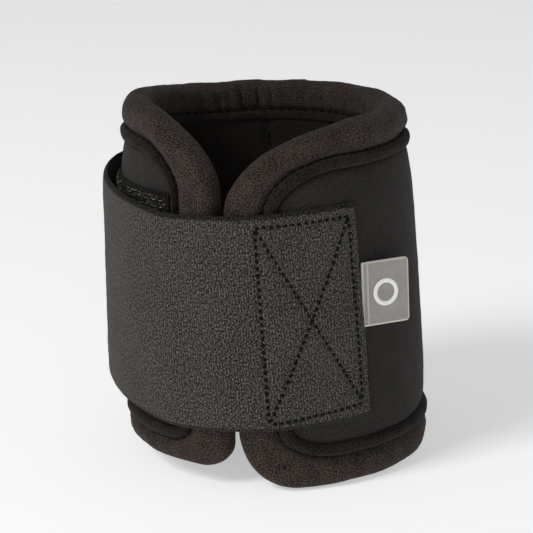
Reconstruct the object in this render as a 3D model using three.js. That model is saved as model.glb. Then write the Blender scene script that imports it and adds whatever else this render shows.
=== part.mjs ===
// A weighted ankle cuff, standing upright and strapped shut. Millimetres and degrees, +Z up.
// The cuff's axis is the Z axis and the table is z = 0. The opening faces -Y and +X is on the right.
//
// The wall is one padded sheet wrapped into a slightly conical tube. Everything in it is placed by
// onWall(length, height, proud): the length round the cuff from the middle of the opening, the height
// above the bottom hem, and how far the place stands proud of the outer panel's face.
// The wall is in three rigid sections, a back and two wings, because each wing swings open.

import * as THREE from "three";

const { degToRad, radToDeg, lerp, smoothstep } = THREE.MathUtils;

// ---------------------------------------------------------------- driving dimensions

const CUFF_HEIGHT = 120;
const HEM_RADIUS = 51.4; // the outer panel's face, carried down to the bottom hem
const BRIM_RADIUS = 47.1; // the same face, carried up to the top hem
const MEAN_RADIUS = 49.25; // turns a length round the wall into an angle
const LEAN = 1.2; // degrees that the wrapped cuff leans to the left
const TWIST = 4; // degrees that the front is turned to the right at the hem, compared with the brim
const TWIST_FADE = [60, 120]; // it dies out between these angles, before the hinges
const LAYER_GAP = 0.3; // between pieces that touch
const FOAM_GAP = 0.6; // round the foam in the rolled edge
const SPLIT_GAP = 0.4; // between rigid sections

const HINGE_ANGLE = 125; // where each wing joins the back, from the middle of the opening
// The left flap is wrapped this much higher than the right, at each height; its hem roll is squashed.
const LEFT_LIFT = [
  [0, 6.6],
  [10.8, 3.6],
  [125, 4.4],
];
const OPENING = 1.6; // degrees from the front to the middle of the gap between the flaps
const LIFT_RAMP = 65; // degrees, forward of the left hinge, over which it rises

const PANEL_THICK = 1.8;
const LINING_THICK = 1.8;
const WALL_THICK = 9;

const ROLL_HALF = 5.5; // half of the rolled edge's thickness
const ROLL_MIDDLE = -5; // its middle, from the outer panel's face
const ROLL_NOSE = 5; // length of the rounded rim
const ROLL_FLAT = 2; // half of the flat strip that it stands on
const ROLL_PINCH = 0.9; // how much thinner it is at its seam
const BINDING_THICK = 1.2;
const PIPING_PROUD = 1.6;
const PIPING_SHOULDER = 0.5;

// Outlines laid flat, from the rim inwards: the rim, the seam of the rolled edge, and the panel's edge.
// front is measured round the cuff from the middle of the opening; brim and hem are the widths and
// heights of the rounded upper and lower corners.
const LEVELS = {
  rim: { top: CUFF_HEIGHT, bottom: 0 },
  seam: { top: 109.8, bottom: 10.8 },
  panel: { top: 105.4, bottom: 15.2 },
};
const FLAPS = {
  left: {
    side: -1,
    rim: { ...LEVELS.rim, front: -0.6, brim: [44, 27], hem: [12, 12] },
    seam: { ...LEVELS.seam, front: 13.4, brim: [23, 17], hem: [10, 7] },
    panel: { ...LEVELS.panel, front: 16.6, brim: [20, 13], hem: [8, 5] },
  },
  right: {
    side: 1,
    rim: { ...LEVELS.rim, front: 2.3, brim: [58.5, 28], hem: [19.5, 19.5] },
    seam: { ...LEVELS.seam, front: 16.3, brim: [29, 18.5], hem: [19, 10] },
    panel: { ...LEVELS.panel, front: 20.4, brim: [25, 15], hem: [14, 7] },
  },
};

const PACK_TOP = 101;
const PACK_BOTTOM = 17;
const PACK_SHOULDER = 0.7; // a pack's thickness at its long edges, as a share of its full thickness
const WING_PACKS = { middles: [42, 74, 106], span: 28 };
const BACK_PACKS = { middles: [143.5, 180, 216.5], span: 30 };

const PATCH = { from: -82, to: -19.9, bottom: 27, top: 94, inner: 0.3, outer: 1.4 };

const STRAP_WIDTH = 71;
const STRAP_THICK = 2;
const STRAP_BOTTOM = 22.4;
const STRAP_ENDS = [-125, -75, -30, 13, 54.3]; // tail, side, front and sewn end, between their folds
// At angles from the opening: how far the strap's inner face stands off the outer panel.
const STRAP_STANDOFF = [
  [-125, 2.6],
  [-105, 4.6],
  [-85, 5.2],
  [-60, 4.2],
  [-30, 2.3],
  [23.6, 2.0],
  [29.1, 0.3],
  [54.3, 0.3],
];
// At the same kind of angles: how much higher than level it runs.
const STRAP_RISE = [
  [-125, 7.2],
  [-75, 5.6],
  [-20, -1.2],
  [54.3, 1.4],
];

// The tag starts at its root, beside the strap's sewn end, and faces out at another angle.
const TAG = { root: 54.9, facing: 46, height: 63.9, width: 17, tall: 21.4, thick: 1, corner: 1.4, standoff: 0.5 };
const TAG_BEVEL = 0.25;
const EMBLEM = { inner: 3.1, outer: 4.4, thick: 0.5 };

// ---------------------------------------------------------------- materials

function finish(color, roughness, metalness = 0) {
  return () => new THREE.MeshStandardMaterial({ color, roughness, metalness });
}

const FINISHES = {
  panel: finish("#272624", 0.85),
  lining: finish("#171614", 0.9),
  binding: finish("#322d2a", 0.9),
  foam: finish("#3a3a3a", 0.95),
  piping: finish("#2b2724", 0.85),
  pack: finish("#6b6d70", 0.45, 0.6),
  hook: finish("#24231f", 0.6),
  strap: finish("#3d3b39", 0.8),
  tag: finish("#8e8b87", 0.4),
  emblem: finish("#f0efec", 0.5),
};

const cuff = new THREE.Group();

function addPiece(name, geometry, look, parent = cuff) {
  const mesh = new THREE.Mesh(geometry, FINISHES[look]());
  mesh.name = name;
  parent.add(mesh);
  return mesh;
}

// ---------------------------------------------------------------- places on the cuff

const angleToLength = (angle) => degToRad(angle) * MEAN_RADIUS;

// Straight-line values between the keys of a table.
function fromTable(table, angle) {
  const next = Math.max(1, table.findIndex(([key]) => key >= angle));
  const [from, near] = table[next - 1];
  const [to, far] = table[next];
  return lerp(near, far, (angle - from) / (to - from));
}

function liftAt(angle, height) {
  if (angle >= OPENING) return 0;
  const full = fromTable(LEFT_LIFT, height);
  return full * smoothstep(HINGE_ANGLE + angle, 0, LIFT_RAMP);
}

function faceRadius(height) {
  return lerp(HEM_RADIUS, BRIM_RADIUS, height / CUFF_HEIGHT);
}

function twistAt(angle, height) {
  return TWIST * (0.5 - height / CUFF_HEIGHT) * (1 - smoothstep(Math.abs(angle), ...TWIST_FADE));
}

function atAngle(angle, height, radius) {
  const turn = degToRad(angle + twistAt(angle, height));
  const lean = height * Math.tan(degToRad(LEAN));
  return new THREE.Vector3(radius * Math.sin(turn) - lean, -radius * Math.cos(turn), height);
}

function onWall(length, height, proud) {
  const angle = radToDeg(length / MEAN_RADIUS);
  return atAngle(angle, height + liftAt(angle, height), faceRadius(height) + proud);
}

// ---------------------------------------------------------------- bent solids

function signedVolume(positions, index) {
  const corner = [new THREE.Vector3(), new THREE.Vector3(), new THREE.Vector3()];
  let sum = 0;
  for (let i = 0; i < index.count; i += 3) {
    corner.forEach((point, k) => point.fromBufferAttribute(positions, index.getX(i + k)));
    sum += corner[0].dot(corner[1].clone().cross(corner[2]));
  }
  return sum;
}

// Some places run the other way round the cuff, which turns a solid inside out: turn its faces back.
function facingOut(geometry) {
  const index = geometry.getIndex();
  if (signedVolume(geometry.getAttribute("position"), index) < 0) {
    for (let i = 0; i < index.count; i += 3) {
      const second = index.getX(i + 1);
      index.setX(i + 1, index.getX(i + 2));
      index.setX(i + 2, second);
    }
  }
  geometry.computeVertexNormals();
  return geometry;
}

// A block cut into cells, with each corner carried to place(column, row, layer).
function bentBlock(columns, rows, place) {
  const block = new THREE.BoxGeometry(1, 1, 1, columns, rows, 1);
  const positions = block.getAttribute("position");
  for (let i = 0; i < positions.count; i += 1) {
    const column = Math.round((positions.getX(i) + 0.5) * columns);
    const row = Math.round((positions.getY(i) + 0.5) * rows);
    const layer = Math.round(positions.getZ(i) + 0.5);
    const point = place(column, row, layer);
    positions.setXYZ(i, point.x, point.y, point.z);
  }
  return facingOut(block);
}

// ---------------------------------------------------------------- outlines laid flat

const SIDE_CELLS = { upper: 6, lower: 8 };
const CORNER_CELLS = { upper: 9, lower: 7 };
const FRONT_CELLS = 3;
const BACK_CELLS = 14;

const NEAR_HINGE = angleToLength(HINGE_ANGLE) - SPLIT_GAP / 2;
const PAST_HINGE = angleToLength(HINGE_ANGLE) + SPLIT_GAP / 2;
const FAR_HINGE = angleToLength(360 - HINGE_ANGLE) - SPLIT_GAP / 2;

function straight(fromX, fromY, toX, toY) {
  return new THREE.LineCurve(new THREE.Vector2(fromX, fromY), new THREE.Vector2(toX, toY));
}

// A quarter of an ellipse, turning anticlockwise from the given quarter.
function corner(x, y, [width, height], quarter) {
  const start = (quarter * Math.PI) / 2;
  return new THREE.EllipseCurve(x, y, width, height, start, start + Math.PI / 2);
}

// Evenly spaced points along curves that follow on from each other, without the last one.
function pointsAlong(curves, cells) {
  const path = new THREE.CurvePath();
  curves.forEach((curve) => path.add(curve));
  return Array.from({ length: cells }, (_, i) => path.getPoint(i / cells));
}

// A flap's outline, from its hinge along the top, down the front edge and back along the bottom.
// All of a flap's outlines have their stations at matching places, so that they can be joined up.
function flapOutline({ front, top, bottom, brim, hem }, upperStart, lowerStart) {
  return [
    ...pointsAlong([straight(NEAR_HINGE, top, upperStart, top)], SIDE_CELLS.upper),
    ...pointsAlong(
      [straight(upperStart, top, front + brim[0], top), corner(front + brim[0], top - brim[1], brim, 1)],
      CORNER_CELLS.upper,
    ),
    ...pointsAlong([straight(front, top - brim[1], front, bottom + hem[1])], FRONT_CELLS),
    ...pointsAlong(
      [corner(front + hem[0], bottom + hem[1], hem, 2), straight(front + hem[0], bottom, lowerStart, bottom)],
      CORNER_CELLS.lower,
    ),
    ...pointsAlong([straight(lowerStart, bottom, NEAR_HINGE, bottom)], SIDE_CELLS.lower),
    new THREE.Vector2(NEAR_HINGE, bottom),
  ];
}

// The back's outline along the top, from right to left, or along the bottom, from left to right.
function backOutline(height, from, to) {
  const points = pointsAlong([straight(from, height, to, height)], BACK_CELLS);
  return [...points, new THREE.Vector2(to, height)];
}

// Stations between two outlines: where each starts, which way is inward, and how wide the band is.
function bandBetween(outer, inner) {
  return outer.map((at, i) => {
    const inward = inner[i].clone().sub(at);
    return { at, width: inward.length(), inward: inward.normalize() };
  });
}

// A place measured from a station: inward along the band, and proud of the outer panel's face.
function fromRim(station, inward, proud, side) {
  const length = station.at.x + station.inward.x * inward;
  const height = station.at.y + station.inward.y * inward;
  return onWall(side * length, height, proud);
}

// ---------------------------------------------------------------- the rolled edge and its piping

// Half of the roll's section, from its seam round to the flat on its rim, shrunk by an inset.
function halfRoll(width, inset) {
  const rise = ROLL_HALF - inset;
  const slant = Math.SQRT1_2;
  return [
    { inward: width, rise: rise - ROLL_PINCH },
    { inward: ROLL_NOSE, rise },
    { inward: ROLL_NOSE - (ROLL_NOSE - inset) * slant, rise: ROLL_FLAT + (rise - ROLL_FLAT) * slant },
    { inward: inset, rise: Math.min(ROLL_FLAT, rise) },
  ];
}

// The knit strip that is wrapped round the padded rim, open towards its seam.
function bindingAlong(stations, side) {
  return bentBlock(7, stations.length - 1, (column, row, layer) => {
    const half = halfRoll(stations[row].width, layer === 1 ? 0 : BINDING_THICK);
    const outer = column < half.length;
    const { inward, rise } = half[outer ? column : 2 * half.length - 1 - column];
    return fromRim(stations[row], inward, ROLL_MIDDLE + (outer ? rise : -rise), side);
  });
}

function foamAlong(stations, side) {
  return bentBlock(3, stations.length - 1, (column, row, layer) => {
    const half = halfRoll(stations[row].width, BINDING_THICK + FOAM_GAP);
    const { inward, rise } = half[column];
    return fromRim(stations[row], inward, ROLL_MIDDLE + (layer === 1 ? rise : -rise), side);
  });
}

function pipingAlong(stations, side) {
  const crown = [PIPING_SHOULDER, PIPING_PROUD, PIPING_SHOULDER];
  return bentBlock(2, stations.length - 1, (column, row, layer) => {
    const inward = lerp(LAYER_GAP, stations[row].width - LAYER_GAP, column / 2);
    return fromRim(stations[row], inward, layer === 1 ? crown[column] : -PANEL_THICK, side);
  });
}

function addRolledEdge(section, outlines, side) {
  const roll = bandBetween(outlines.rim, outlines.seam);
  const piping = bandBetween(outlines.seam, outlines.panel);
  addPiece(`edge_binding_${section}`, bindingAlong(roll, side), "binding");
  addPiece(`edge_foam_${section}`, foamAlong(roll, side), "foam");
  addPiece(`seam_piping_${section}`, pipingAlong(piping, side), "piping");
}

// ---------------------------------------------------------------- panels, linings and packs

const SHEET_COLUMNS = 16;
const SHEET_BUNCHING = 1.35; // how strongly the columns bunch up towards the rounded corners

// How far a rounded corner has fallen away from its straight edge, at a length from the flap's front.
function cornerFall(fromFront, [width, height]) {
  const share = Math.max(0, 1 - fromFront / width);
  return height * (1 - Math.sqrt(1 - share ** 2));
}

// A sheet within a flap's outline, from the front edge to the hinge.
function flapSheet({ front, top, bottom, brim, hem }, inner, outer, side) {
  return bentBlock(SHEET_COLUMNS, 1, (column, row, layer) => {
    const fromFront = (NEAR_HINGE - front) * (column / SHEET_COLUMNS) ** SHEET_BUNCHING;
    const height = row === 1 ? top - cornerFall(fromFront, brim) : bottom + cornerFall(fromFront, hem);
    return onWall(side * (front + fromFront), height, layer === 1 ? outer : inner);
  });
}

function backSheet({ top, bottom }, inner, outer) {
  return bentBlock(BACK_CELLS, 1, (column, row, layer) => {
    const length = lerp(PAST_HINGE, FAR_HINGE, column / BACK_CELLS);
    return onWall(length, row === 1 ? top : bottom, layer === 1 ? outer : inner);
  });
}

const PANEL_FACES = [-PANEL_THICK, 0];
const LINING_FACES = [-WALL_THICK, LINING_THICK - WALL_THICK];

// The lining reaches out to the rolled edge's seam, with the usual gap.
function liningEdge(seam) {
  const front = (seam.front ?? 0) + LAYER_GAP;
  return { ...seam, front, top: seam.top - LAYER_GAP, bottom: seam.bottom + LAYER_GAP };
}

// A sealed pack of shot, thinner at its two long edges.
function weightPack(middle, span) {
  const columns = 4;
  const outer = -PANEL_THICK - LAYER_GAP;
  const inner = LINING_THICK + LAYER_GAP - WALL_THICK;
  return bentBlock(columns, 1, (column, row, layer) => {
    const length = angleToLength(middle + (column / columns - 0.5) * span);
    const edge = column === 0 || column === columns;
    const share = (edge ? PACK_SHOULDER : 1) * (layer === 1 ? 0.5 : -0.5);
    const proud = (outer + inner) / 2 + share * (outer - inner);
    return onWall(length, row === 1 ? PACK_TOP : PACK_BOTTOM, proud);
  });
}

function addPacks(section, { middles, span }, side) {
  middles.forEach((middle, i) => {
    addPiece(`weight_pack_${section}_${i + 1}`, weightPack(side * middle, span), "pack");
  });
}

function addWing(section) {
  const { side, rim, seam, panel } = FLAPS[section];
  const upperStart = rim.front + rim.brim[0];
  const lowerStart = Math.max(...[rim, seam, panel].map(({ front, hem }) => front + hem[0])) + 1;
  const outlines = {
    rim: flapOutline(rim, upperStart, lowerStart),
    seam: flapOutline(seam, upperStart, lowerStart),
    panel: flapOutline(panel, upperStart, lowerStart),
  };
  addRolledEdge(section, outlines, side);
  addPiece(`outer_panel_${section}`, flapSheet(panel, ...PANEL_FACES, side), "panel");
  addPiece(`lining_${section}`, flapSheet(liningEdge(seam), ...LINING_FACES, side), "lining");
  addPacks(section, WING_PACKS, side);
}

function addBack() {
  const outlinesAt = (edge, from, to) => ({
    rim: backOutline(LEVELS.rim[edge], from, to),
    seam: backOutline(LEVELS.seam[edge], from, to),
    panel: backOutline(LEVELS.panel[edge], from, to),
  });
  addRolledEdge("back_top", outlinesAt("top", FAR_HINGE, PAST_HINGE), 1);
  addRolledEdge("back_bottom", outlinesAt("bottom", PAST_HINGE, FAR_HINGE), 1);
  addPiece("outer_panel_back", backSheet(LEVELS.panel, ...PANEL_FACES), "panel");
  addPiece("lining_back", backSheet(liningEdge(LEVELS.seam), ...LINING_FACES), "lining");
  addPacks("back", BACK_PACKS, 1);
}

// ---------------------------------------------------------------- hook patch and strap

function hookPatch() {
  const columns = 8;
  return bentBlock(columns, 1, (column, row, layer) => {
    const length = angleToLength(lerp(PATCH.from, PATCH.to, column / columns));
    return onWall(length, row === 1 ? PATCH.top : PATCH.bottom, layer === 1 ? PATCH.outer : PATCH.inner);
  });
}

// A stretch of the strap. It wraps the cone, and isn't lifted with the left flap.
function strapPiece(from, to, columns) {
  const fold = radToDeg(SPLIT_GAP / 2 / MEAN_RADIUS);
  return bentBlock(columns, 1, (column, row, layer) => {
    const angle = lerp(from + fold, to - fold, column / columns);
    const height = STRAP_BOTTOM + row * STRAP_WIDTH + fromTable(STRAP_RISE, angle);
    const standoff = fromTable(STRAP_STANDOFF, angle) + layer * STRAP_THICK;
    return atAngle(angle, height, faceRadius(height) + standoff);
  });
}

function addStrap() {
  ["strap_tail", "strap_side", "strap_front", "strap_anchor"].forEach((name, i) => {
    const [from, to] = STRAP_ENDS.slice(i, i + 2);
    addPiece(name, strapPiece(from, to, i === 3 ? 7 : 6), "strap");
  });
}

// ---------------------------------------------------------------- the flag tag and its raised ring

function tagOutline() {
  const x = TAG.width / 2 - TAG_BEVEL;
  const y = TAG.tall / 2 - TAG_BEVEL;
  const r = TAG.corner;
  const outline = new THREE.Shape();
  outline.moveTo(-x, -y);
  outline.lineTo(x - r, -y);
  outline.quadraticCurveTo(x, -y, x, r - y);
  outline.lineTo(x, y - r);
  outline.quadraticCurveTo(x, y, x - r, y);
  outline.lineTo(-x, y);
  outline.closePath();
  return outline;
}

function tagPlate() {
  return new THREE.ExtrudeGeometry(tagOutline(), {
    depth: TAG.thick - 2 * TAG_BEVEL,
    bevelThickness: TAG_BEVEL,
    bevelSize: TAG_BEVEL,
    bevelSegments: 1,
    curveSegments: 5,
  });
}

function emblemRing() {
  const { inner, outer, thick } = EMBLEM;
  const profile = [
    new THREE.Vector2(inner, 0),
    new THREE.Vector2(outer, 0),
    new THREE.Vector2(outer, thick),
    new THREE.Vector2(inner, thick),
    new THREE.Vector2(inner, 0),
  ];
  return facingOut(new THREE.LatheGeometry(profile, 24));
}

// The tag is a stiff flat plate that stands off the wall more and more away from its root.
function addTag() {
  const slope = Math.atan((HEM_RADIUS - BRIM_RADIUS) / CUFF_HEIGHT);
  const mount = new THREE.Group();
  mount.position.copy(atAngle(TAG.root, TAG.height, faceRadius(TAG.height) + TAG.standoff));
  mount.rotation.set(Math.PI / 2 - slope, 0, degToRad(TAG.facing), "ZXY");
  mount.translateX(TAG.width / 2);
  const plate = addPiece("side_tag", tagPlate(), "tag", mount);
  plate.position.z = TAG_BEVEL;
  const ring = addPiece("tag_emblem", emblemRing(), "emblem", mount);
  ring.rotation.x = Math.PI / 2;
  ring.position.z = TAG.thick + LAYER_GAP;
  cuff.add(mount);
}

// ---------------------------------------------------------------- the whole cuff

addBack();
addWing("left");
addWing("right");
addPiece("hook_patch", hookPatch(), "hook");
addStrap();
addTag();

export default cuff;
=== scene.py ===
import math

import bpy
import numpy as np
from mathutils import Matrix, Vector


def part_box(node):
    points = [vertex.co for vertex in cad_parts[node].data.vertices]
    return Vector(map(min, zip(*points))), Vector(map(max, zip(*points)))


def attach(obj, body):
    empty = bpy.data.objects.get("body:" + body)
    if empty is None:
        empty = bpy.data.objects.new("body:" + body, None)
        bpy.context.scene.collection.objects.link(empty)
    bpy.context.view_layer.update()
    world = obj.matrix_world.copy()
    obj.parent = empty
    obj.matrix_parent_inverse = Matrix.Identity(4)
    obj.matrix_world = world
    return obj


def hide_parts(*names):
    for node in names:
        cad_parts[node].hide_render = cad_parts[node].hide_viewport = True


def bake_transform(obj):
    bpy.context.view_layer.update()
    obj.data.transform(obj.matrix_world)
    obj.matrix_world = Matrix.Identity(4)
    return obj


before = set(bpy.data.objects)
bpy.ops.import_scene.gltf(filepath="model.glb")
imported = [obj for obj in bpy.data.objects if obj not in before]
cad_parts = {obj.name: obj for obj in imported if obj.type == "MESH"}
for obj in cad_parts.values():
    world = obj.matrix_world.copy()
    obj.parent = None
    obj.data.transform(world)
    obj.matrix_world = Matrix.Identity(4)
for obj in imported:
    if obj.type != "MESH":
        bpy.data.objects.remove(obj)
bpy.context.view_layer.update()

# Lengths in this script are millimetres and angles degrees, until a mesh is made in metres.
# An angle is measured round the cuff from the middle of its opening (-Y), positive towards +X.
# A length is the same thing along the wall, and "proud" is how far a place stands out from the outer panel.

MM = 0.001
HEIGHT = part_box("edge_binding_right")[1].z / MM
MID_HEIGHT = 60  # where the wall's folds are placed
HEM_RADIUS, BRIM_RADIUS, MEAN_RADIUS = 51.4, 47.1, 49.25
LEAN = math.tan(math.radians(1.2))
TWIST, TWIST_FADE = 4, (60, 120)
HINGE = 125
LIFT_FROM, LIFT_RAMP = 145, 78
LEFT_LIFT = ((0, 10.8, 120), (6.6, 3.6, 4.4))  # heights, and how much higher the left flap is there
OPENING = 1.6
FULLNESS, FULL_REACH = 1.3, 46  # how far the packs swell the outer layers, and how far from mid-height
SWELL_DEPTHS = (-8, -2)  # layers deeper than the first aren't swollen, those above the second are fully
BACK = math.pi * MEAN_RADIUS  # the length at the middle of the back
DEGREE = math.pi / 180 * MEAN_RADIUS  # the length of one degree
SIDES = {"left": -1, "right": 1}

RIM = {"top": HEIGHT, "bottom": 0}
SEAM = {"top": 109.8, "bottom": 10.8}
PANEL = {"top": 105.4, "bottom": 15.2}
FLAPS = {
    "left": {
        "rim": {**RIM, "front": -0.6, "brim": (44, 27), "hem": (12, 12)},
        "seam": {**SEAM, "front": 13.4, "brim": (23, 17), "hem": (10, 7)},
        "panel": {**PANEL, "front": 14.8, "brim": (21, 13), "hem": (9, 5)},
    },
    "right": {
        "rim": {**RIM, "front": 2.3, "brim": (58.5, 28), "hem": (19.5, 19.5)},
        "seam": {**SEAM, "front": 16.3, "brim": (29, 18.5), "hem": (19, 10)},
        "panel": {**PANEL, "front": 20.4, "brim": (25, 15), "hem": (14, 7)},
    },
}


# ---------------------------------------------------------------- small helpers

def lerp(a, b, t):
    return a + (b - a) * t


def smooth(t):
    t = np.clip(t, 0, 1)
    return t * t * (3 - 2 * t)


def near(distance, width):
    """A soft hump: 1 at distance 0, fading out over the width."""
    return np.exp(-((distance / width) ** 2))


def waves(u, v, size, seed):
    """Smooth irregular waves from about -1 to 1, with humps about size apart."""
    draw = np.random.default_rng(seed)
    total = 0
    for _ in range(7):
        turn, phase = draw.uniform(0, 2 * math.pi, 2)
        rate = 2 * math.pi / (size * draw.uniform(0.7, 1.6))
        total = total + np.sin(rate * (u * math.cos(turn) + v * math.sin(turn)) + phase)
    return total / 3.2


# ---------------------------------------------------------------- places on the cuff

def on_cone(angle, height, radius):
    fade = 1 - smooth((np.abs(angle) - TWIST_FADE[0]) / (TWIST_FADE[1] - TWIST_FADE[0]))
    turn = np.radians(angle + TWIST * (0.5 - height / HEIGHT) * fade)
    x = radius * np.sin(turn) - height * LEAN
    return np.stack(np.broadcast_arrays(x, -radius * np.cos(turn), height), -1)


def face_radius(height):
    return lerp(HEM_RADIUS, BRIM_RADIUS, height / HEIGHT)


def full_radius(height):
    away = np.clip(np.abs(height - HEIGHT / 2) / FULL_REACH, 0, 1)
    return face_radius(height) + FULLNESS * (1 - away ** 4)


def lift_at(angle, height):
    full = np.interp(height, *LEFT_LIFT)
    return np.where(angle < OPENING, full * smooth((LIFT_FROM + angle) / LIFT_RAMP), 0)


def on_wall(length, height, proud):
    angle = np.degrees(length / MEAN_RADIUS)
    deepest, swollen = SWELL_DEPTHS
    share = smooth((proud - deepest) / (swollen - deepest))
    swell = (full_radius(height) - face_radius(height)) * share
    return on_cone(angle, height + lift_at(angle, height), face_radius(height) + swell + proud)


def outward(angle):
    turn = np.radians(angle)
    slope = (HEM_RADIUS - BRIM_RADIUS) / HEIGHT
    x = np.sin(turn) * math.cos(slope)
    return np.stack(np.broadcast_arrays(x, -np.cos(turn) * math.cos(slope), math.sin(slope)), -1)


# ---------------------------------------------------------------- meshes

def solid(name, vertices, faces, material, uv=None, sharp=50):
    """A mesh object in metres, smooth except at edges sharper than the given angle."""
    vertices, faces = np.asarray(vertices, float), np.asarray(faces, int)
    a, b, c, d = (vertices[faces[:, i]] for i in range(4))
    volume = np.einsum("ij,ij->i", a, np.cross(b, c)).sum() + np.einsum("ij,ij->i", a, np.cross(c, d)).sum()
    if volume < 0:
        faces = faces[:, ::-1]
    mesh = bpy.data.meshes.new(name)
    mesh.from_pydata((vertices * MM).tolist(), [], faces.tolist())
    if uv is not None:
        corners = np.zeros(len(mesh.loops), int)
        mesh.loops.foreach_get("vertex_index", corners)
        layer = mesh.uv_layers.new(name="UVMap")
        layer.data.foreach_set("uv", np.asarray(uv, np.float32)[corners].ravel())
    mesh.polygons.foreach_set("use_smooth", np.ones(len(mesh.polygons), bool))
    mesh.set_sharp_from_angle(angle=math.radians(sharp))
    mesh.materials.append(material)
    mesh.update()
    obj = bpy.data.objects.new(name, mesh)
    bpy.context.scene.collection.objects.link(obj)
    return obj


def skin(name, outer, inner, uv, material, sharp=50):
    """A closed sheet between two grids of points, with its surface coordinates in millimetres."""
    rows, columns = outer.shape[:2]
    top = np.arange(rows * columns).reshape(rows, columns)
    under = top + rows * columns

    def quads(a, b):
        return np.stack([a[:-1], a[1:], b[1:], b[:-1]], -1).reshape(-1, 4)

    faces = [quads(top[i], top[i + 1]) for i in range(rows - 1)]
    faces += [quads(under[i + 1], under[i]) for i in range(rows - 1)]
    faces += [quads(under[0], top[0]), quads(top[-1], under[-1])]
    faces += [quads(top[:, 0], under[:, 0]), quads(under[:, -1], top[:, -1])]
    vertices = np.concatenate([outer.reshape(-1, 3), inner.reshape(-1, 3)])
    flat = uv.reshape(-1, 2)
    return solid(name, vertices, np.concatenate(faces), material, np.concatenate([flat, flat]), sharp)


def threads(name, starts, ends, normals, material, thick=0.62, arch=0.35, sides=6, rings=6):
    """One mesh of short sewn stitches, each a small arch that dives into the cloth at both ends."""
    along = ends - starts
    across = np.cross(normals, along)
    across /= np.linalg.norm(across, axis=1, keepdims=True)
    faces, points = [], []
    for i, t in enumerate(np.linspace(0, 1, rings)):
        bow = 1 - (2 * t - 1) ** 2
        centre = starts + along * t + normals * arch * (bow - 0.35)
        radius = thick / 2 * (0.35 + 0.65 * math.sqrt(bow))
        for k in range(sides):
            turn = 2 * math.pi * k / sides
            points.append(centre + radius * (across * math.cos(turn) + normals * math.sin(turn)))
    points = np.stack(points, 1)
    for i in range(rings - 1):
        for k in range(sides):
            n = (k + 1) % sides
            faces.append([i * sides + k, i * sides + n, (i + 1) * sides + n, (i + 1) * sides + k])
    for ring in (0, rings - 1):
        at = ring * sides
        order = [[at, at + 1, at + 2, at + 3], [at, at + 3, at + 4, at + 5]]
        faces += [quad[::-1] for quad in order] if ring == 0 else order
    faces = np.array(faces)
    each = rings * sides
    every = (np.arange(len(starts))[:, None, None] * each + faces).reshape(-1, 4)
    strand = np.tile(np.repeat(np.linspace(0, 3, rings), sides), len(starts))
    round_it = np.tile(np.tile(np.linspace(0, 1, sides), rings), len(starts))
    return solid(name, points.reshape(-1, 3), every, material, np.stack([strand, round_it], 1), 180)


def stitched(line, normals, pitch, share=0.72, start=0.0):
    """The starts, ends and normals of stitches spaced evenly along a line of points."""
    steps = np.linalg.norm(np.diff(line, axis=0), axis=1)
    at = np.concatenate([[0], np.cumsum(steps)])
    heads = np.arange(start, at[-1] - pitch * share, pitch)

    def places(values, where):
        return np.stack([np.interp(where, at, values[:, i]) for i in range(3)], 1)

    middle = places(normals, heads + pitch * share / 2)
    middle /= np.linalg.norm(middle, axis=1, keepdims=True)
    return places(line, heads), places(line, heads + pitch * share), middle


def joined(rows):
    return [np.concatenate(parts) for parts in zip(*rows)]


# ---------------------------------------------------------------- materials

def shade(*channels):
    """A colour given as it looks on a screen, 0 to 255, in the linear values that shaders take."""
    linear = [(c / 255 / 12.92) if c < 10.3 else ((c / 255 + 0.055) / 1.055) ** 2.4 for c in channels]
    return (*linear, 1)


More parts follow.
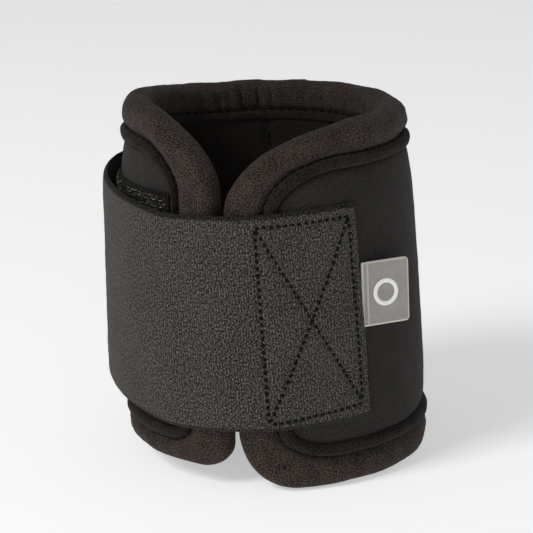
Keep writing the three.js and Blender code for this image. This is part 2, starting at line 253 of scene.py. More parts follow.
class Look:
    """A node material being put together. Surface coordinates and sizes are in millimetres."""

    def __init__(self, name, roughness, sheen=0.0, specular=0.3, **sockets):
        self.material = bpy.data.materials.new(name)
        self.material.use_nodes = True
        self.tree = self.material.node_tree
        self.shader = self.tree.nodes["Principled BSDF"]
        given = {"Roughness": roughness, "Sheen Weight": sheen, "Sheen Roughness": 0.5}
        given["Specular IOR Level"] = specular
        for socket, value in {**given, **sockets}.items():
            self.shader.inputs[socket].default_value = value
        self.place = self.tree.nodes.new("ShaderNodeUVMap").outputs["UV"]
        split = self.node("ShaderNodeSeparateXYZ", {"Vector": self.place})
        self.u, self.v = split.outputs["X"], split.outputs["Y"]

    def node(self, kind, inputs, **settings):
        made = self.tree.nodes.new(kind)
        for key, value in settings.items():
            setattr(made, key, value)
        for key, value in inputs.items():
            if isinstance(value, bpy.types.NodeSocket):
                self.tree.links.new(value, made.inputs[key])
            else:
                made.inputs[key].default_value = value
        return made

    def math(self, operation, *values, clamp=False):
        inputs = dict(enumerate(values))
        return self.node("ShaderNodeMath", inputs, operation=operation, use_clamp=clamp).outputs[0]

    def wave(self, value, period):
        """0 to 1 and back, once a period."""
        turned = self.math("MULTIPLY", value, 2 * math.pi / period)
        return self.math("MULTIPLY_ADD", self.math("COSINE", turned), 0.5, 0.5)

    def noise(self, size, detail=2.0, stretch=(1, 1, 1)):
        mapped = self.node("ShaderNodeMapping", {"Vector": self.place, "Scale": stretch}).outputs[0]
        inputs = {"Vector": mapped, "Scale": 1 / size, "Detail": detail, "Roughness": 0.6}
        return self.node("ShaderNodeTexNoise", inputs, noise_dimensions="2D").outputs["Fac"]

    def knit(self, wale, course):
        """Rows of small V stitches: columns are a wale wide, and a stitch is a course tall."""
        part = self.math("FRACT", self.math("DIVIDE", self.u, wale))
        side = self.math("ABSOLUTE", self.math("SUBTRACT", part, 0.5))
        slanted = self.math("MULTIPLY_ADD", side, 1.3 * course, self.v)
        ridge = self.math("SUBTRACT", 1.0, self.math("MULTIPLY", side, 1.6))
        return self.math("MULTIPLY", self.wave(slanted, course), ridge)

    def between(self, amount, low, high):
        """How far an amount is from low to high, 0 to 1."""
        inputs = {"Value": amount, "From Min": low, "From Max": high}
        return self.node("ShaderNodeMapRange", inputs, interpolation_type="SMOOTHSTEP").outputs[0]

    def mix(self, amount, first, second):
        made = self.node("ShaderNodeMix", {}, data_type="RGBA")
        for index, value in ((0, amount), (6, first), (7, second)):
            if isinstance(value, bpy.types.NodeSocket):
                self.tree.links.new(value, made.inputs[index])
            else:
                made.inputs[index].default_value = value
        return made.outputs[2]

    def finish(self, color, *bumps, roughness=None):
        """Bumps are pairs of a height and its depth in millimetres, the coarsest first."""
        self.tree.links.new(color, self.shader.inputs["Base Color"])
        if roughness is not None:
            self.tree.links.new(roughness, self.shader.inputs["Roughness"])
        normal = None
        for height, depth in bumps:
            inputs = {"Height": height, "Distance": depth * MM, "Strength": 1.0}
            if normal is not None:
                inputs["Normal"] = normal
            normal = self.node("ShaderNodeBump", inputs).outputs[0]
        if normal is not None:
            self.tree.links.new(normal, self.shader.inputs["Normal"])
        return self.material


def jersey(name, dark, light, wale=0.55, course=0.42):
    """Smooth jersey-faced neoprene."""
    look = Look(name, 0.75, 0.02, 0.09)
    mottle = look.noise(14.0, 2.0)
    grain = look.noise(0.8, 2.0)
    stitch = look.knit(wale, course)
    amount = look.math("MULTIPLY_ADD", grain, 0.75, look.math("MULTIPLY", mottle, 0.25))
    amount = look.math("MULTIPLY_ADD", stitch, 0.25, look.math("SUBTRACT", amount, 0.1))
    return look.finish(look.mix(amount, dark, light), (mottle, 0.2), (stitch, 0.05), (grain, 0.06))


def rib_knit(name, dark, light, wale=0.95, course=0.8):
    """Fine knit with lighter loop heads."""
    look = Look(name, 0.85, 0.05, 0.06)
    stitch = look.knit(wale, course)
    fuzz = look.noise(0.52, 2.0)
    patches = look.noise(6.0, 2.0)
    speckle = look.between(fuzz, 0.38, 0.66)
    amount = look.math("MULTIPLY", speckle, look.math("MULTIPLY_ADD", stitch, 0.6, 0.4))
    amount = look.math("MULTIPLY_ADD", patches, 0.35, look.math("SUBTRACT", amount, 0.1), clamp=True)
    return look.finish(look.mix(amount, dark, light), (patches, 0.2), (stitch, 0.18), (fuzz, 0.1))


def loop_pile(name, dark, light, width):
    """Woven tape with a pile of brushed loops in fine upright ribs, flatter near its free end."""
    look = Look(name, 0.85, 0.05, 0.06)
    fuzz = look.noise(0.55, 2.0, (1, 0.8, 1))
    sway = look.math("MULTIPLY_ADD", look.noise(2.4, 1.0), 0.9, look.u)
    rib = look.wave(sway, 0.9)
    speckle = look.between(fuzz, 0.36, 0.66)
    patches = look.noise(16.0, 2.0)
    pile = look.math("MULTIPLY", speckle, look.math("MULTIPLY_ADD", rib, 0.68, 0.36))
    brushed = look.between(look.u, -14.0, -56.0)
    pile = look.node("ShaderNodeMix", {0: look.math("MULTIPLY", brushed, 0.65), 2: pile, 3: 0.26}).outputs[0]
    amount = look.math("MULTIPLY_ADD", patches, 0.12, look.math("ADD", pile, 0.01), clamp=True)
    edge = look.math("MINIMUM", look.v, look.math("SUBTRACT", width, look.v))
    inside = look.between(edge, 0.9, 1.6)
    amount = look.math("MULTIPLY", amount, look.math("MULTIPLY_ADD", inside, 0.75, 0.25))
    height = look.math("MULTIPLY", pile, inside)
    return look.finish(look.mix(amount, dark, light), (patches, 0.3), (height, 0.26), (fuzz, 0.1))


def hook_face(name, dark, light, roughness, specular):
    look = Look(name, roughness, 0.0, specular)
    grain = look.noise(0.7, 2.0)
    return look.finish(look.mix(look.between(grain, 0.42, 0.7), dark, light), (grain, 0.2))


def twisted_thread(name, dark, light):
    look = Look(name, 0.6, 0.0, 0.12)
    ply = look.wave(look.math("MULTIPLY_ADD", look.v, 0.9, look.u), 0.55)
    return look.finish(look.mix(ply, dark, light), (ply, 0.08))


def silicone(name, body, rim, size):
    """Cloudy moulded silicone, with painted light where light gathers at its edges and along a moulded line
    near one side.
    """
    look = Look(name, 0.32, 0.0, 0.5, **{"Subsurface Weight": 0.25, "Subsurface Scale": 0.002})
    look.shader.inputs["Coat Weight"].default_value = 0.25
    width, tall = size
    sides = look.math("MINIMUM", look.u, look.math("SUBTRACT", width, look.u))
    ends = look.math("MINIMUM", look.v, look.math("SUBTRACT", tall, look.v))
    edge = look.math("SUBTRACT", 1.0, look.between(look.math("MINIMUM", sides, ends), 0.25, 0.75))
    line = look.math("ABSOLUTE", look.math("SUBTRACT", look.u, 2.0))
    line = look.math("SUBTRACT", 1.0, look.between(line, 0.15, 0.4))
    cloud = look.noise(4.0, 3.0)
    light = look.math("MAXIMUM", edge, look.math("MULTIPLY", line, 0.5))
    light = look.math("MULTIPLY_ADD", cloud, 0.3, look.math("SUBTRACT", light, 0.12), clamp=True)
    dust = look.noise(0.4, 2.0)
    rough = look.math("MULTIPLY_ADD", dust, 0.25, 0.2)
    return look.finish(look.mix(light, body, rim), (cloud, 0.1), (dust, 0.02), roughness=rough)


def print_white(name):
    look = Look(name, 0.5, 0.0, 0.4)
    grain = look.noise(0.6, 2.0)
    return look.finish(look.mix(grain, shade(225, 223, 219), shade(250, 249, 246)), (grain, 0.03))


def hidden_look(name, dark, light, size, metallic=0.0):
    """For the CAD pieces sealed inside the wall: foam cells or steel shot."""
    look = Look(name, 0.55, 0.0, 0.4, Metallic=metallic)
    texture = look.node("ShaderNodeTexCoord", {}).outputs["Object"]
    inputs = {"Vector": texture, "Scale": 1000 / size}
    balls = look.node("ShaderNodeTexVoronoi", inputs).outputs["Distance"]
    return look.finish(look.mix(balls, light, dark), (balls, -0.3 * size))


STRAP_WIDTH = 71
TAG_WIDTH, TAG_TALL = 17, 21.4
LOOKS = {
    "neoprene": jersey("neoprene_look", shade(1, 1, 1), shade(62, 59, 56)),
    "lining": jersey("lining_look", shade(12, 11, 10), shade(48, 43, 39), 0.7, 0.6),
    "knit_binding": rib_knit("binding_look", shade(8, 7, 6), shade(96, 83, 75)),
    "piping": rib_knit("piping_look", shade(10, 8, 7), shade(62, 54, 49), 0.8, 0.7),
    "hook_patch": hook_face("hook_look", shade(6, 6, 6), shade(34, 32, 28), 0.7, 0.08),
    # The prongs' light colour is painted glints: scattered prongs come out whitish, as though catching the
    # light.
    "hook": hook_face("prong_painted_glint_look", shade(16, 15, 14), shade(140, 132, 116), 0.35, 0.4),
    "loop_strap": loop_pile("strap_look", shade(6, 6, 5), shade(113, 109, 103), STRAP_WIDTH),
    "thread": twisted_thread("thread_look", shade(5, 5, 5), shade(13, 12, 12)),
    # The tag's second colour is painted light, laid along its edges and moulded line.
    "tag": silicone("tag_look", shade(142, 139, 134), shade(208, 203, 194), (TAG_WIDTH, TAG_TALL)),
    "tag_mark": print_white("mark_look"),
    "foam": hidden_look("foam_look", shade(30, 30, 30), shade(66, 66, 66), 0.8),
    "shot_pack": hidden_look("shot_look", shade(60, 60, 62), shade(150, 150, 154), 2.2, 0.9),
}


# ---------------------------------------------------------------- outlines laid flat

def evenly(parts, cells):
    """Points spaced evenly along joined stretches of line, without the last one."""
    line = np.concatenate(parts)
    steps = np.hypot(*np.diff(line, axis=0).T)
    at = np.concatenate([[0], np.cumsum(steps)])
    where = np.linspace(0, at[-1], cells, endpoint=False)
    return np.stack([np.interp(where, at, line[:, i]) for i in range(2)], 1)


def straight(x0, y0, x1, y1):
    return np.array([(x0, y0), (x1, y1)], float)


def quarter(x, y, size, first):
    turn = np.radians(np.linspace(first, first + 90, 60))
    return np.stack([x + size[0] * np.cos(turn), y + size[1] * np.sin(turn)], 1)


def outline(shape, upper_start, lower_start):
    """From mid-back along the top, down the flap's front edge, and back along the bottom."""
    front, top, bottom = shape["front"], shape["top"], shape["bottom"]
    brim, hem = shape["brim"], shape["hem"]
    brim_x, brim_y = front + brim[0], top - brim[1]
    hem_x, hem_y = front + hem[0], bottom + hem[1]
    return np.concatenate([
        evenly([straight(BACK, top, upper_start, top)], 72),
        evenly([straight(upper_start, top, brim_x, top), quarter(brim_x, brim_y, brim, 90)], 52),
        evenly([straight(front, brim_y, front, hem_y)], 50),
        evenly([quarter(hem_x, hem_y, hem, 180), straight(hem_x, bottom, lower_start, bottom)], 34),
        evenly([straight(lower_start, bottom, BACK, bottom)], 84),
        [(BACK, bottom)],
    ])


def outlines(flap):
    upper_start = flap["rim"]["front"] + flap["rim"]["brim"][0]
    lower_start = max(s["front"] + s["hem"][0] for s in flap.values()) + 1
    return {key: outline(shape, upper_start, lower_start) for key, shape in flap.items()}


def band(first, second):
    """Stations between two outlines: the start, the inward direction, the width and the length along."""
    inward = second - first
    width = np.hypot(*inward.T)
    middle = (first + second) / 2
    run = np.concatenate([[0], np.cumsum(np.hypot(*np.diff(middle, axis=0).T))])
    return {"at": first, "inward": inward / width[:, None], "width": width, "run": run}


def from_rim(stations, inward, proud, side):
    flat = stations["at"][:, None] + stations["inward"][:, None] * inward[..., None]
    return on_wall(side * flat[..., 0], flat[..., 1], proud)


# ---------------------------------------------------------------- the padded wall

FOLD_ZONE = 8  # degrees each side of a hinge line, from which the ends of a bend are reckoned; the padded wall is not bent
STITCH = 3.2
# How proud the layers' hidden faces, and the lining's visible one, are.
PANEL_BACK, PIPING_BACK, LINING_BACK, LINING_FACE = -1.75, -1.8, -7.35, -9.15


def bend_with_wing(piece, section):
    side = SIDES[section]
    turns, radius = (HINGE + FOLD_ZONE, HINGE - FOLD_ZONE), face_radius(MID_HEIGHT)
    ends = [on_cone(side * turn, MID_HEIGHT, radius) * MM for turn in turns]
    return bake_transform(piece)


ROLL_HALF, ROLL_MIDDLE, ROLL_NOSE, BINDING_THICK = 5.5, -5, 5.2, 1.1
# Gathers inside the rim: how far each is from the middle of the back, and its depth.
PUCKERS = {
    "left": [
        (7, 0.6), (13, 1.2), (19.5, 1.5), (22.5, 0.8), (27, 1.6),
        (33, 0.7), (38.5, 1.1), (47, 0.8), (60, 0.4),
    ],
    "right": [(1.5, 0.5), (11, 0.4), (24, 0.5), (37, 0.3), (52, 0.35), (70, 0.3)],
}


def roll_section(stations):
    """The binding's outer and inner skins: inward distances and rises, from outer seam to inner seam."""
    width = stations["width"][:, None]
    share = np.linspace(0, 1, 14)[None] ** 1.5
    from_seam = (width - ROLL_NOSE) * share
    pinch = 0.34 * np.exp(-((from_seam / 1.7) ** 1.2))
    swell = 0.035 * np.sin(math.pi * share)
    turn = np.linspace(0, math.pi / 2, 11)[1:][None]
    skins = []
    for inset in (0, BINDING_THICK):
        flat_in = np.concatenate([width + 0.6, width - from_seam], 1)
        rise = ROLL_HALF * (1 - pinch + swell) - inset
        flat_rise = np.concatenate([rise[:, :1] - 0.5, rise], 1)
        nose_in = ROLL_NOSE - (ROLL_NOSE - inset) * np.sin(turn) + 0 * width
        nose_rise = (ROLL_HALF - inset) * np.cos(turn) ** 0.95 + 0 * width
        half_in = np.concatenate([flat_in, nose_in], 1)
        half_rise = np.concatenate([flat_rise, nose_rise], 1)
        skins.append((
            np.concatenate([half_in, half_in[:, -2::-1]], 1),
            np.concatenate([half_rise, -half_rise[:, -2::-1]], 1),
        ))
    return skins


def edge_binding(section):
    side = SIDES[section]
    lines = outlines(FLAPS[section])
    stations = band(lines["rim"], lines["seam"])
    (outer_in, outer_rise), (inner_in, inner_rise) = roll_section(stations)
    run = stations["run"][:, None]
    round_it = np.cumsum(np.hypot(np.diff(outer_in, axis=1, prepend=outer_in[:, :1]),
                                  np.diff(outer_rise, axis=1, prepend=outer_rise[:, :1])), 1)
    girth = round_it[:, -1:]
    to_seam = np.minimum(round_it, girth - round_it)
    inside = smooth((round_it / girth - 0.5) / 0.12)
    dip = 0.28 + 0.28 * waves(run, round_it, 17, 3 + side) + 0.1 * waves(run, round_it, 5, 8 + side)
    dip = dip + 0.3 * (0.5 + 0.5 * np.cos(2 * math.pi * run / STITCH)) * near(to_seam, 2.4)
    for at, depth in PUCKERS[section]:
        bent = run - at - 0.12 * (girth - round_it)
        dip = dip + inside * depth * (near(bent, 0.9) - 0.4 * near(bent - 2.4, 1.5))
    dip = np.clip(dip, -0.3, 1.75)
    full = np.abs(outer_rise) / ROLL_HALF
    rise = outer_rise - np.sign(outer_rise) * dip * full
    inward = outer_in + np.maximum(dip, 0) * (1 - full) * (outer_in < ROLL_NOSE)
    outer = from_rim(stations, inward, ROLL_MIDDLE + rise, side)
    inner = from_rim(stations, inner_in + 0.4 * (inner_in < ROLL_NOSE), ROLL_MIDDLE + inner_rise * 0.8, side)
    uv = np.stack(np.broadcast_arrays(run, round_it), -1)
    piece = skin("binding_" + section, outer, inner, uv, LOOKS["knit_binding"], 70)
    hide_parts("edge_binding_" + section, "edge_binding_back_top", "edge_binding_back_bottom")
    return bend_with_wing(piece, section)


def piping(section, inner_side=False):
    """The raised tape along the seam: on the outer face, or a lower one round the lining."""
    side = SIDES[section]
    lines = outlines(FLAPS[section])
    stations = band(lines["seam"], lines["panel"])
    run, width = stations["run"][:, None], stations["width"][:, None]
    share = np.linspace(0, 1, 13)[None]
    crown = (1 - np.abs(2 * share - 1) ** 2.4) ** 0.8
    scallop = 0.22 * (0.5 + 0.5 * np.cos(2 * math.pi * run / STITCH)) * near(share, 0.35)
    wobble = 0.16 * waves(run, share, 13, 21 + side) * crown - scallop
    if inner_side:
        face, back = -9.1 - 1.25 * crown - wobble, -8.3 + 0 * crown
        reach = 0.85
    else:
        face, back = -1.1 + 2.35 * crown + wobble, PIPING_BACK + 0 * crown
        reach = 1
    inward = width * share * reach
    outer = from_rim(stations, inward, face, side)
    inner = from_rim(stations, inward, back + 0 * inward, side)
    uv = np.stack(np.broadcast_arrays(run, 4.5 * share), -1)
    name = ("inner_piping_" if inner_side else "outer_piping_") + section
    piece = skin(name, outer, inner, uv, LOOKS["piping"], 70)
    if not inner_side:
        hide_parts("seam_piping_" + section, "seam_piping_back_top", "seam_piping_back_bottom")
    return bend_with_wing(piece, section)


def corner_fall(from_front, size):
    share = np.maximum(0, 1 - from_front / size[0])
    return size[1] * (1 - np.sqrt(1 - share ** 2))


def flap_grid(shape, gap=0.0):
    """Lengths, heights and distances from the edge, over one side of the cuff from its front to mid-back."""
    front = shape["front"] + gap
    from_front = ((BACK - front) * np.linspace(0, 1, 132) ** 1.35)[None]
    share = np.linspace(0, 1, 67)
    share = (share - 0.055 * np.sin(2 * math.pi * share))[:, None]
    top = shape["top"] - gap - corner_fall(from_front, shape["brim"])
    bottom = shape["bottom"] + gap + corner_fall(from_front, shape["hem"])
    height = lerp(bottom, top, share)
    edge = np.minimum(np.minimum(height - bottom, top - height), from_front)
    return front + from_front + 0 * height, height, edge


def outer_panel(section):
    side = SIDES[section]
    length, height, edge = flap_grid(FLAPS[section]["panel"])
    face = -0.12 - 0.95 * np.exp(-edge / 0.8) - 0.3 * np.exp(-edge / 6)
    face = face + 0.13 * waves(length, height, 26, 31 + side) + 0.05 * waves(length, height, 8, 36 + side)
    outer = on_wall(side * length, height, face)
    inner = on_wall(side * length, height, PANEL_BACK)
    piece = skin("panel_" + section, outer, inner, np.stack([length, height], -1), LOOKS["neoprene"])
    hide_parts("outer_panel_" + section, "outer_panel_back")
    return bend_with_wing(piece, section)


CHANNELS = [26.5, 58, 90, 124.5, 161.7]  # angles of the sewn channels between the shot packs
CHANNEL_ENDS = (17, 103)


def lining_face(length, height, side):
    """The lining's inner face: soft pillows over the packs, pulled in at the sewn channels."""
    angle = np.degrees(length / MEAN_RADIUS)
    pulled = sum(near((angle - at) * DEGREE, 1.9) for at in CHANNELS)
    puff = 0.14 * waves(length, height, 16, 41 + side) + 0.05 * waves(length, height, 5, 46 + side)
    gather = 0.12 * np.cos(2 * math.pi * height / STITCH) * pulled
    return LINING_FACE + 0.75 * pulled + gather + puff


def lining(section):
    side = SIDES[section]
    length, height, edge = flap_grid(FLAPS[section]["seam"], 0.3)
    face = lining_face(length, height, side) + 0.5 * np.exp(-edge / 1.2)
    outer = on_wall(side * length, height, face)
    inner = on_wall(side * length, height, LINING_BACK)
    piece = skin("inner_lining_" + section, outer, inner, np.stack([length, height], -1), LOOKS["lining"])
    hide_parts("lining_" + section, "lining_back")
    return bend_with_wing(piece, section)


def wall_threads(section):
    """Stitches in the seams along the outer and inner piping, and down the sewn channels."""
    side = SIDES[section]
    lines = outlines(FLAPS[section])
    length, height = lines["seam"].T
    normals = outward(side * np.degrees(length / MEAN_RADIUS))
    rows = [stitched(on_wall(side * length, height, -0.75), normals, STITCH)]
    rows.append(stitched(on_wall(side * length, height, -9.05), -normals, STITCH))
    level = np.linspace(*CHANNEL_ENDS, 90)
    for angle in CHANNELS:
        at = math.radians(angle) * MEAN_RADIUS + 0 * level
        line = on_wall(side * at, level, lining_face(at, level, side) - 0.05)
        rows.append(stitched(line, -outward(side * angle + 0 * level), STITCH))
    piece = threads("wall_thread_" + section, *joined(rows), LOOKS["thread"])
    return bend_with_wing(piece, section)


# ---------------------------------------------------------------- hook patch

PATCH = {"from": -82, "to": -18.4, "bottom": 27, "top": 94}
HOOK_PITCH, HOOK_SCATTER = (1.1, 1.05), 0.16  # round the cuff and up it, and how unevenly


def hook_patch():
    angle = np.linspace(PATCH["from"], PATCH["to"], 70)[None]
    level = np.linspace(PATCH["bottom"], PATCH["top"], 60)[:, None]
    length = np.radians(angle) * MEAN_RADIUS + 0 * level
    height = level + 0 * length
    across = np.minimum(angle - PATCH["from"], PATCH["to"] - angle) * DEGREE
    edge = np.minimum(across, np.minimum(height - PATCH["bottom"], PATCH["top"] - height))
    face = 1.0 - 0.45 * np.exp(-edge / 0.5) + 0.06 * waves(length, height, 9, 51)
    outer, inner = on_wall(length, height, face), on_wall(length, height, 0.25)
    uv = np.stack([length, height], -1)
    base = skin("hook_patch_base", outer, inner, uv, LOOKS["hook_patch"])
    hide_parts("hook_patch")
    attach(base, "left_wing")

    draw = np.random.default_rng(7)
    first, last = (math.radians(PATCH[end]) * MEAN_RADIUS for end in ("from", "to"))
    columns = np.arange(first + 1.5, last - 0.9, HOOK_PITCH[0])
    rows = np.arange(PATCH["bottom"] + 1.5, PATCH["top"] - 0.7, HOOK_PITCH[1])
    where = np.meshgrid(columns, rows)
    length, height = (w.ravel() + draw.normal(0, HOOK_SCATTER, w.size) for w in where)
    foot = on_wall(length, height, 0.95)
    up = outward(np.degrees(length / MEAN_RADIUS))
    turn = draw.uniform(-0.9, 0.9, length.size) + math.pi * draw.integers(0, 2, length.size)
    round_cuff = np.cross(np.array([0, 0, 1.0]), up)
    lean = round_cuff * np.cos(turn)[:, None] + np.cross(up, round_cuff) * np.sin(turn)[:, None]
    hook = prongs(foot, lean, up, draw.uniform(0.8, 1.2, length.size)[:, None])
    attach(hook, "left_wing")


def prongs(foot, lean, up, size):
    """Small bent prongs, each five rings of four points."""
    bends = [(0, 0, 0.26), (0.02, 0.3, 0.2), (0.16, 0.52, 0.18), (0.4, 0.56, 0.15), (0.52, 0.4, 0.08)]
    across = np.cross(lean, up)
    rings = []
    for i, (out, rise, radius) in enumerate(bends):
        centre = foot + size * (lean * out + up * rise)
        other = lean if i < 2 else up  # a prong stands up first, then bends over
        for k in range(4):
            turn = math.pi / 4 + math.pi / 2 * k
            rings.append(centre + radius * (across * math.cos(turn) + other * math.sin(turn)))
    points = np.stack(rings, 1)
    faces = []
    for i in range(len(bends) - 1):
        for k in range(4):
            n = (k + 1) % 4
            faces.append([i * 4 + k, i * 4 + n, (i + 1) * 4 + n, (i + 1) * 4 + k])
    last = 4 * (len(bends) - 1)
    faces += [[3, 2, 1, 0], [last, last + 1, last + 2, last + 3]]
    every = (np.arange(len(foot))[:, None, None] * 4 * len(bends) + np.array(faces)).reshape(-1, 4)
    flat = np.repeat(foot[:, [0, 2]], 4 * len(bends), axis=0)
    return solid("hook_field", points.reshape(-1, 3), every, LOOKS["hook"], flat, 180)


# ---------------------------------------------------------------- strap

STRAP_BOTTOM = 22.4
STRAP_THICK = 1.7
STRAP_END = 54.3
STRAP_RADIUS = MEAN_RADIUS + 3  # turns an angle into a length along the strap
# Both tables go from the free end to the sewn end: an angle, and a length off or up the wall.
STRAP_STANDOFF = [
    (-HINGE, 2.6), (-105, 4.6), (-85, 5.2), (-60, 4.2),
    (-30, 2.3), (23.6, 2.0), (29.1, 0.3), (STRAP_END, 0.3),
]
STRAP_RISE = [(-HINGE, 7.2), (-75, 5.6), (-20, -1.2), (STRAP_END, 1.4)]
BEND_PLACE = (35, 2.0)  # how far across the strap, and how proud, the ends of a bend are reckoned; the strap is not bent
BOX_STITCH = 2.3
BOX = {"left": 16.2, "right": 51.2, "top": 67, "bottom_left": 2.4, "bottom_right": 4.6}


def from_table(table, angle):
    """Values between the keys of a table, with its corners rounded off."""
    keys, values = zip(*table)
    spread = np.linspace(-5, 5, 11)
    return np.mean([np.interp(angle + turn, keys, values) for turn in spread], axis=0)


def box_lines():
    left, right = BOX["left"], BOX["right"]
    corners = {
        "a": (left, BOX["top"]), "b": (right, BOX["top"]),
        "c": (right, BOX["bottom_right"]), "d": (left, BOX["bottom_left"]),
    }
    pairs = ["ab", "bc", "cd", "da", "ac", "bd"]
    return [(np.array(corners[p[0]]), np.array(corners[p[1]])) for p in pairs]


def to_line(angle, across, line):
    """Distance in millimetres from a stretch of sewing on the strap."""
    start, end = line[0] * (DEGREE, 1), line[1] * (DEGREE, 1)
    along = end - start
    x, y = angle * DEGREE - start[0], across - start[1]
    share = np.clip((x * along[0] + y * along[1]) / (along @ along), 0, 1)
    return np.hypot(x - share * along[0], y - share * along[1])


def strap_face(angle, across):
    """How far the strap's outer face stands off the wall."""
    lift = from_table(STRAP_STANDOFF, angle) + STRAP_THICK
    sewn = np.max([near(to_line(angle, across, line), 1.0) for line in box_lines()], axis=0)
    ease = 0.16 * waves(angle * 0.84, across, 24, 61) + 0.06 * waves(angle * 0.84, across, 6, 62)
    flare = 0.5 * smooth((-angle - 35) / 40) * smooth((across - 45) / 25)
    return lift + ease + flare - 0.6 * sewn


def on_strap(angle, across, proud):
    height = STRAP_BOTTOM + across + from_table(STRAP_RISE, angle)
    return on_cone(angle, height, full_radius(height) + proud)


def strap_piece(name, first, last, zone, nodes):
    """A stretch of the strap between two angles. The ends of a bend over the zone of angles are reckoned, but
    the piece is neither bent nor attached to a body.
    """
    columns = max(8, round(abs(last - first) * 1.15))
    angle = np.linspace(first, last, columns)[None]
    share = np.linspace(0, 1, 84)[:, None]
    across = STRAP_WIDTH * (share - 0.035 * np.sin(2 * math.pi * share)) + 0 * angle
    angle = angle + 0 * across
    edge = np.minimum(across, STRAP_WIDTH - across)
    cut = (STRAP_END - angle) * DEGREE
    tail = (angle + HINGE) * DEGREE
    edge = np.minimum(edge, np.minimum(cut + 0.35, tail + 0.2))
    thin = 0.42 * np.exp(-((edge / 1.1) ** 2)) + 0.35 * np.exp(-((edge / 0.35) ** 2))
    face = strap_face(angle, across)
    outer = on_strap(angle, across, face - thin * STRAP_THICK * 0.75)
    inner = on_strap(angle, across, face - STRAP_THICK + thin * STRAP_THICK * 0.15)
    uv = np.stack([np.radians(angle) * STRAP_RADIUS, across], -1)
    piece = skin(name, outer, inner, uv, LOOKS["loop_strap"])
    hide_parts(*nodes)
    ends = [on_strap(turn, *BEND_PLACE) * MM for turn in zone]
    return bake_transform(piece)


def strap():
    ends = ["strap_anchor", "strap_front"]
    strap_piece("strap_sewn_end", STRAP_END, -8, (14, 3), ends)
    strap_piece("strap_middle", -8, -52, (-33, -46), ["strap_side"])
    strap_piece("strap_free_end", -52, -HINGE, (-68, -82), ["strap_tail"])


def strap_threads():
    rows = []
    for i, (start, end) in enumerate(box_lines()):
        share = np.linspace(0, 1, 120)
        angle, across = lerp(start[0], end[0], share), lerp(start[1], end[1], share)
        sunk = 0.16 * waves(angle, across, 4.5, 71)
        line = on_strap(angle, across, strap_face(angle, across) - sunk)
        rows.append(stitched(line, outward(angle), BOX_STITCH, 0.66, 0.2 * i))
    piece = threads("box_thread", *joined(rows), LOOKS["thread"], thick=1.0, arch=0.3)
    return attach(piece, "right_wing")


# ---------------------------------------------------------------- flag tag

TAG_ROOT, TAG_FACING = 54.9, 46  # the angle that it starts at, and the one that it faces
TAG_HEIGHT, TAG_STANDOFF, TAG_THICK, TAG_CORNER = 63.9, 0.5, 1.0, 1.3


def on_tag(x, y, rise):
    """A place on the tag's flat plate, from its middle."""
    turn = math.radians(TAG_FACING)
    across = np.array([math.cos(turn), math.sin(turn), 0])
    up = outward(TAG_FACING)
    tall = np.cross(up, across)
    root = on_cone(TAG_ROOT, TAG_HEIGHT, full_radius(TAG_HEIGHT) + TAG_STANDOFF)
    middle = root + across * TAG_WIDTH / 2
    parts = [np.asarray(v)[..., None] * axis for v, axis in ((x, across), (y, tall), (rise, up))]
    return middle + sum(parts)


def tag_curl(x):
    return 0.5 * (x / TAG_WIDTH + 0.5) ** 2 - 0.2


def round_corners(x, y):
    """The tag's grid with its two free corners rounded, and each place's distance from the edge."""
    inner_x, inner_y = TAG_WIDTH / 2 - TAG_CORNER, TAG_TALL / 2 - TAG_CORNER
    past_x, past_y = np.maximum(0, x - inner_x), np.maximum(0, np.abs(y) - inner_y)
    reach, square = np.hypot(past_x, past_y), np.maximum(past_x, past_y)
    rounding = np.where(reach > 0, square / np.maximum(reach, 1e-9), 1)
    x = np.where(x > inner_x, inner_x + (x - inner_x) * rounding, x)
    y = np.where(np.abs(y) > inner_y, np.sign(y) * (inner_y + (np.abs(y) - inner_y) * rounding), y)
    edge = np.minimum(np.minimum(TAG_WIDTH / 2 - np.abs(x), TAG_TALL / 2 - np.abs(y)), TAG_CORNER)
    return x, y, np.where(reach > 0, np.minimum(edge, TAG_CORNER - square), edge)


def side_tag():
    share = np.linspace(-1, 1, 49)
    share = np.sign(share) * (1 - (1 - np.abs(share)) ** 1.4)
    x, y, edge = round_corners(*np.meshgrid(share * TAG_WIDTH / 2, share * TAG_TALL / 2))
    frame_line = near(edge - 0.85, 0.3) * 0.09
    moulded = near(x + TAG_WIDTH / 2 - 2.0, 0.35) * 0.1 * (edge > 0.6)
    face = TAG_THICK - 0.34 * np.exp(-((edge / 0.32) ** 2)) + frame_line + moulded
    curl = tag_curl(x)
    uv = np.stack([x + TAG_WIDTH / 2, y + TAG_TALL / 2], -1)
    plate = skin("flag_tag", on_tag(x, y, face + curl), on_tag(x, y, 0.05 + curl), uv, LOOKS["tag"], 40)
    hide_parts("side_tag")
    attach(plate, "right_wing")

    turn = np.linspace(0, 2 * math.pi, 65)[None]
    radius = np.linspace(3.1, 4.5, 9)[:, None]
    x, y = radius * np.cos(turn), radius * np.sin(turn)
    dome = 0.22 * np.sqrt(np.clip(1 - ((radius - 3.8) / 0.72) ** 2, 0, 1))
    level = TAG_THICK + tag_curl(x)
    outer, inner = on_tag(x, y, level + dome + 0.03), on_tag(x, y, level - 0.15 + 0 * dome)
    ring = skin("tag_ring", outer, inner, np.stack([x, y], -1), LOOKS["tag_mark"])
    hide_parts("tag_emblem")
    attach(ring, "right_wing")


# ---------------------------------------------------------------- everything

for section in SIDES:
    edge_binding(section)
    piping(section)
    piping(section, inner_side=True)
    outer_panel(section)
    lining(section)
    wall_threads(section)
hook_patch()
strap()
strap_threads()
side_tag()

for name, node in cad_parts.items():
    look = "foam" if name.startswith("edge_foam") else "shot_pack" if name.startswith("weight_pack") else None
    if look:
        node.data.materials.clear()
        node.data.materials.append(LOOKS[look])


# ---------------------------------------------------------------- floor, light and camera

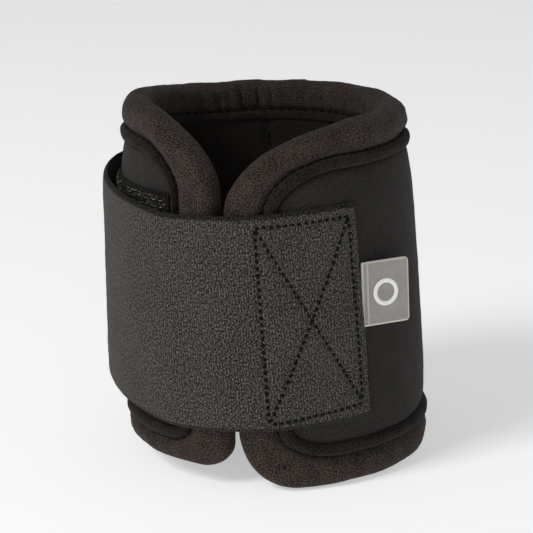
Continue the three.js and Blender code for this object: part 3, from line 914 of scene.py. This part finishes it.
def backdrop():
    look = bpy.data.materials.new("floor_look")
    look.use_nodes = True
    shader = look.node_tree.nodes["Principled BSDF"]
    shader.inputs["Base Color"].default_value = (0.93, 0.93, 0.93, 1)
    shader.inputs["Roughness"].default_value = 0.9
    shader.inputs["Specular IOR Level"].default_value = 0.1
    shader.inputs["Emission Color"].default_value = (1, 1, 1, 1)
    shader.inputs["Emission Strength"].default_value = 0.45
    half = 12.0
    corners = [(-half, -half, 0), (half, -half, 0), (half, half, 0), (-half, half, 0)]
    mesh = bpy.data.meshes.new("floor")
    mesh.from_pydata(corners, [], [(0, 1, 2, 3)])
    mesh.materials.append(look)
    floor = bpy.data.objects.new("floor", mesh)
    bpy.context.scene.collection.objects.link(floor)


def lamp(name, place, power, size, aim=(0, 0, 0.06)):
    light = bpy.data.lights.new(name, "AREA")
    light.energy, light.size = power, size
    obj = bpy.data.objects.new(name, light)
    obj.location = place
    obj.rotation_mode = "QUATERNION"
    obj.rotation_quaternion = (Vector(aim) - Vector(place)).to_track_quat("-Z", "Y")
    bpy.context.scene.collection.objects.link(obj)


def camera():
    azimuth, elevation, distance = math.radians(20), math.radians(15.7), 0.696
    aim = Vector((-0.003, 0, 0.0625))
    back = Vector((
        math.sin(azimuth) * math.cos(elevation),
        -math.cos(azimuth) * math.cos(elevation),
        math.sin(elevation),
    ))
    data = bpy.data.cameras.new("camera")
    data.sensor_width = 36
    data.lens = 137
    data.clip_start, data.clip_end = 0.05, 60
    obj = bpy.data.objects.new("camera", data)
    obj.location = Vector((0, 0, 0.06)) + back * distance
    turned = (aim - obj.location).to_track_quat("-Z", "Y")
    roll = Matrix.Rotation(math.radians(-1.5), 3, "Z").to_quaternion()
    obj.rotation_mode = "QUATERNION"
    obj.rotation_quaternion = turned @ roll
    bpy.context.scene.collection.objects.link(obj)
    bpy.context.scene.camera = obj


def surroundings():
    """A white room, dimmer overhead."""
    world = bpy.data.worlds.new("world")
    world.use_nodes = True
    tree = world.node_tree
    direction = tree.nodes.new("ShaderNodeTexCoord").outputs["Generated"]
    split = tree.nodes.new("ShaderNodeSeparateXYZ")
    tree.links.new(direction, split.inputs[0])
    ramp = tree.nodes.new("ShaderNodeMapRange")
    for key, value in {"From Min": 0.04, "From Max": 0.5, "To Min": 0.96, "To Max": 0.15}.items():
        ramp.inputs[key].default_value = value
    tree.links.new(split.outputs["Z"], ramp.inputs["Value"])
    tree.links.new(ramp.outputs[0], tree.nodes["Background"].inputs["Color"])
    bpy.context.scene.world = world


backdrop()
camera()
lamp("key", (-0.7, -1.15, 1.25), 14.5, 0.6)
lamp("fill", (0.8, -1.5, 0.5), 1.9, 0.9)
surroundings()
bpy.context.scene.view_settings.view_transform = "Standard"
